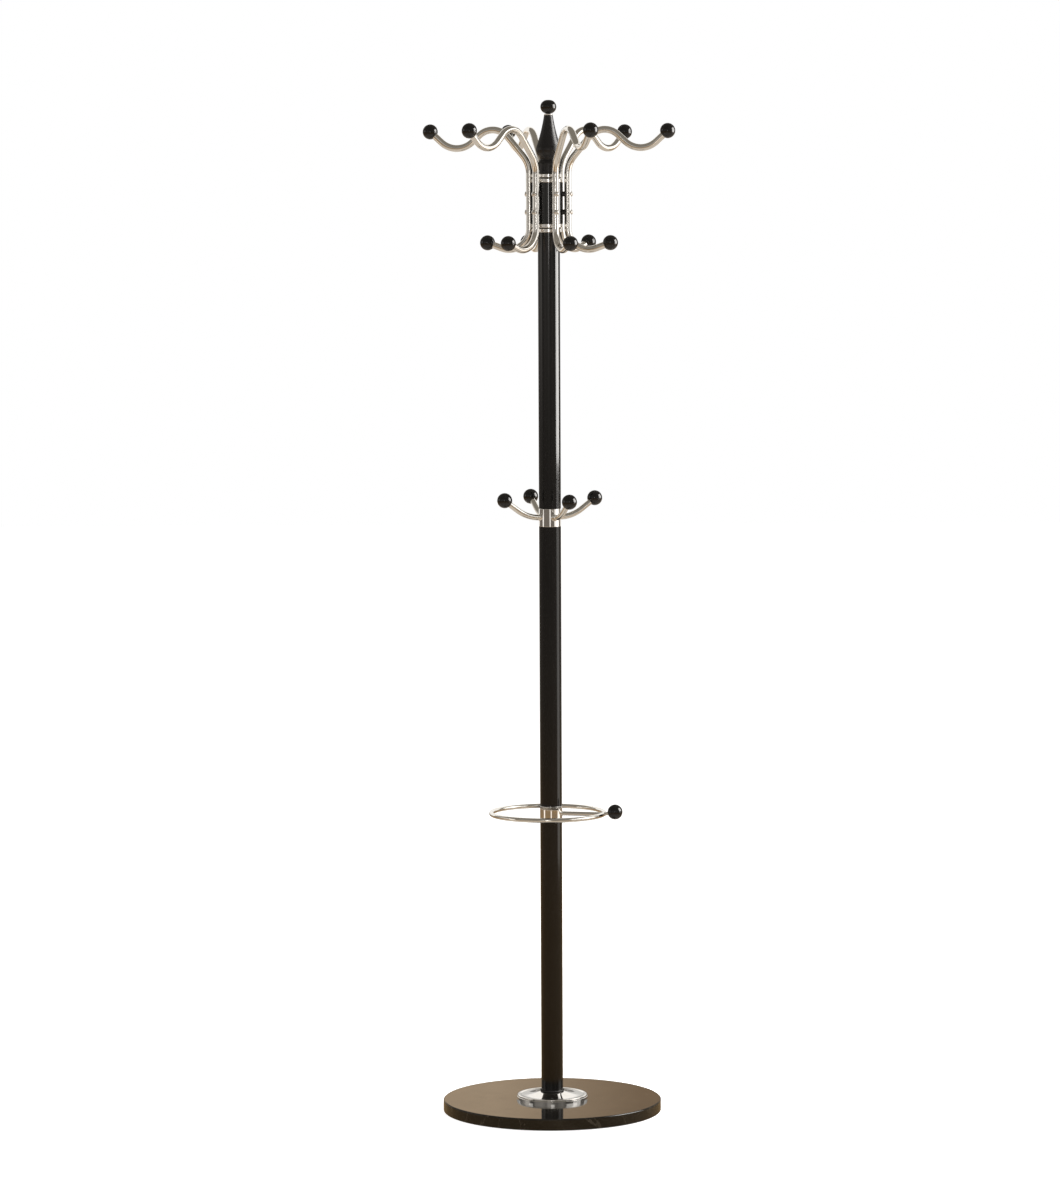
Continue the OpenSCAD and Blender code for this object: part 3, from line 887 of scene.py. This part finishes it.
def pale_floor():
    """A pale floor. Its glow evens out the light on it, and reflections don't see it."""
    r = FLOOR_HALF
    floor = flat_panel("stage_floor", [(-r, -r, 0), (r, -r, 0), (r, r, 0), (-r, r, 0)])
    floor.visible_glossy = False
    s = Surface("stage_floor", Roughness=0.9, Specular_IOR_Level=0,
                Emission_Color=(*WHITE, 1), Emission_Strength=FLOOR_GLOW)
    s.feed("Base Color", s.mix(s.noise(2.5, detail=2), (0.80, 0.80, 0.80), (0.78, 0.78, 0.78)))
    floor.data.materials.append(s.material)


def link_light(obj, slots, state):
    """Lets a light or a glowing panel reach only the pieces of these slots, or all but those."""
    group = bpy.data.collections.new(obj.name + "_receivers")
    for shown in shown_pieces():
        if slot_of(shown) in slots:
            group.objects.link(shown)
    for linked in group.collection_objects:
        linked.light_linking.link_state = state
    obj.light_linking.receiver_collection = group


def glowing_wall(name, slots, place, half_width, bottom, top, tone, fade=None):
    """A wall of light across the line from place (x, y) to the object, which only pieces of these
    slots mirror. With a fade (axis, start, end, last) its tone goes over to last along that axis."""
    x, y = place
    away = sqrt(x * x + y * y)
    dx, dy = -y / away * half_width, x / away * half_width
    wall = flat_panel(name, [(x - dx, y - dy, bottom), (x + dx, y + dy, bottom),
                             (x + dx, y + dy, top), (x - dx, y - dy, top)])
    for ray in ("visible_camera", "visible_diffuse", "visible_shadow"):
        setattr(wall, ray, False)
    s = Surface(name)
    glow = s.nodes.new("ShaderNodeEmission")
    glow.inputs["Color"].default_value = (*tone, 1)
    if fade:
        axis, start, end, last = fade
        split = s.nodes.new("ShaderNodeSeparateXYZ")
        s.links.new(s.place, split.inputs[0])
        share = s.remap(split.outputs[axis], start, end, 0, 1)
        s.links.new(s.mix(share, tone, last), glow.inputs["Color"])
    both = s.nodes.new("ShaderNodeAddShader")
    s.links.new(glow.outputs[0], both.inputs[0])
    s.links.new(s.nodes.new("ShaderNodeBsdfTransparent").outputs[0], both.inputs[1])
    s.links.new(both.outputs[0], s.nodes["Material Output"].inputs["Surface"])
    s.nodes.remove(s.shader)
    wall.data.materials.append(s.material)
    link_light(wall, slots, "INCLUDE")


def walls():
    """The warm low wall that the polished stone mirrors, and what the chrome mirrors: pale walls
    behind and at the right, and narrow strips in front and at the left. The strips reach below the
    floor, because reflections don't see it."""
    grey, white, pale = (0.42, 0.42, 0.41), (0.80, 0.79, 0.77), (0.95, 0.93, 0.90)
    amber, brown = (0.68, 0.475, 0.275), (0.25, 0.12, 0.015)
    glowing_wall("stage_low_wall", ("base_stone",), place=(0, 2.6), half_width=3.4,
                 bottom=0.30, top=0.66, tone=amber, fade=("X", -0.12, 0.22, brown))
    glowing_wall("stage_pale_wall", CHROME, place=(0, 2.8), half_width=3.4,
                 bottom=0.30, top=4.2, tone=grey, fade=("Z", 0.60, 0.80, white))
    glowing_wall("stage_right_wall", CHROME, place=(3.2, -1.3), half_width=1.3,
                 bottom=0.2, top=3.5, tone=pale)
    glowing_wall("stage_front_strip", CHROME, place=(0.1, -5), half_width=0.45,
                 bottom=-1.4, top=1.3, tone=grey, fade=("Z", -1, 0, pale))
    glowing_wall("stage_left_strip", CHROME, place=(-3.8, -1.1), half_width=0.5,
                 bottom=-1.4, top=1.3, tone=grey, fade=("Z", -1, 0, pale))


def room_world():
    """White for the camera, and a room with a warm tone for light and reflections."""
    room = bpy.data.worlds.new("room")
    bpy.context.scene.world = room
    room.use_nodes = True
    tree = room.node_tree
    nodes, links = tree.nodes, tree.links
    nodes.clear()

    def compute(operation, *values):
        """A calculation with numbers and other nodes' outputs."""
        node = nodes.new("ShaderNodeMath")
        node.operation = operation
        for socket, value in zip(node.inputs, values):
            if isinstance(value, (int, float)):
                socket.default_value = value
            else:
                links.new(value, socket)
        return node.outputs[0]

    def past(value, limits):
        """Smoothly from 0 to 1, as the value goes from the first limit to the second."""
        node = nodes.new("ShaderNodeMapRange")
        node.interpolation_type = "SMOOTHSTEP"
        node.inputs["From Min"].default_value, node.inputs["From Max"].default_value = limits
        links.new(value, node.inputs["Value"])
        return node.outputs["Result"]

    split = nodes.new("ShaderNodeSeparateXYZ")
    links.new(nodes.new("ShaderNodeTexCoord").outputs["Generated"], split.inputs[0])
    x, y, z = split.outputs
    angle = compute("ARCTAN2", x, compute("MULTIPLY", y, -1))
    ramp = nodes.new("ShaderNodeValToRGB")
    links.new(compute("MULTIPLY_ADD", angle, 0.5 / pi, 0.5), ramp.inputs[0])
    stops = ramp.color_ramp.elements
    for turn, _ in ROOM[1:-1]:
        stops.new((turn + 180) / 360)
    for stop, (turn, bright) in zip(stops, ROOM):
        stop.position = (turn + 180) / 360
        stop.color = (*scaled(ROOM_TINT, bright), 1)

    above = mixed(tree, past(z, WALLS_TO_UPPER), ramp.outputs[0], UPPER_ROOM)
    floor = mixed(tree, past(z, NEAR_TO_FAR), NEAR_FLOOR, FAR_FLOOR)
    below = mixed(tree, past(z, FAR_TO_SKIRTING), floor, SKIRTING)
    tones = mixed(tree, past(z, SKIRTING_TO_WALLS), below, above)
    camera_ray = nodes.new("ShaderNodeLightPath").outputs["Is Camera Ray"]
    background = nodes.new("ShaderNodeBackground")
    links.new(mixed(tree, camera_ray, tones, WHITE), background.inputs["Color"])
    out = nodes.new("ShaderNodeOutputWorld")
    links.new(background.outputs[0], out.inputs["Surface"])


def soft_light(name, place, aim, width, height, brightness, tint):
    """A rectangular light at place, turned to aim, of that radiance."""
    lamp = bpy.data.lights.new(name, "AREA")
    lamp.shape = "RECTANGLE"
    lamp.size, lamp.size_y = width, height
    lamp.energy = brightness * width * height * pi
    lamp.color = tint
    obj = bpy.data.objects.new(name, lamp)
    bpy.context.scene.collection.objects.link(obj)
    obj.location = place
    obj.rotation_euler = (Vector(aim) - Vector(place)).to_track_quat("-Z", "Y").to_euler()
    obj.visible_camera = False
    return obj


def facing_light(name, place, width, height, brightness):
    """Daylight from a rectangle that faces the post's axis."""
    return soft_light(name, place, (0, 0, place[2]), width, height, brightness, DAYLIGHT)


def lights():
    """A tall window at the right, milder on the chrome, with a paler wall under it, a small lamp in
    front that the crown mirrors, and a soft overhead light that evens the floor and isn't mirrored."""
    window_place = (3.0, 0.1, 2.2)
    for name, brightness, state in (("window", 11.0, "EXCLUDE"), ("window_on_chrome", 1.4, "INCLUDE")):
        window = facing_light(name, window_place, width=2.2, height=2.5, brightness=brightness)
        link_light(window, CHROME, state)
    facing_light("wall_under_window", (3.0, -0.1, 0.45), width=1.8, height=0.9, brightness=1.1)
    facing_light("lamp", (-0.11, -4.0, 1.585), width=0.3, height=0.33, brightness=7.0)
    overhead = soft_light("overhead", (0, 0, 5), (0, 0, 0), width=6, height=6, brightness=0.6,
                          tint=WHITE)
    overhead.visible_glossy = False


def camera():
    """A long lens 8.3 m in front, at the crown's height, looking slightly down and rolled a little."""
    lens = bpy.data.cameras.new("camera")
    lens.lens = LENS_MM
    lens.sensor_width = 36
    lens.clip_end = 100
    obj = bpy.data.objects.new("camera", lens)
    bpy.context.scene.collection.objects.link(obj)
    pitch = Matrix.Rotation(radians(90 - CAMERA_DOWN), 4, "X")
    roll = Matrix.Rotation(radians(CAMERA_ROLL), 4, "Z")
    obj.matrix_world = Matrix.Translation(CAMERA_PLACE) @ pitch @ roll
    bpy.context.scene.camera = obj


def build():
    """Every fine piece, from the floor up."""
    base_disc()
    base_feet()
    base_flange()
    round_piece("flange_gasket", high("flange_gasket", X), post_bore_r, gasket_edge, 96)
    for node in ("lower_tube", "middle_tube", "upper_tube"):
        round_piece(node, post_r, post_r - post_wall, tube_edge)
    for node in ("ring_collar", "hook_collar"):
        round_piece(node, collar_r, stud_bore_r, collar_edge)
    umbrella_ring()
    ring_arm()
    ring_knob_stub()
    ring_knob()
    mid_hooks()
    for node in ("lower_stop_ring", "upper_stop_ring"):
        trim_ring(node, spindle_bore_r)
    for node in ("hub_lower_ring", "hub_upper_ring"):
        trim_ring(node, hub_ring_bore_r)
    round_piece("hub_sleeve", hub_r, hub_r - hub_wall, sleeve_edge)
    top_spacer()
    finial()
    trim_ring("finial_neck_ring", finial_stud_bore_r)
    finial_ball()
    double_hooks()


camera()
build()
dress(make_materials())
pale_floor()
walls()
room_world()
lights()
bpy.context.scene.view_settings.view_transform = "Standard"
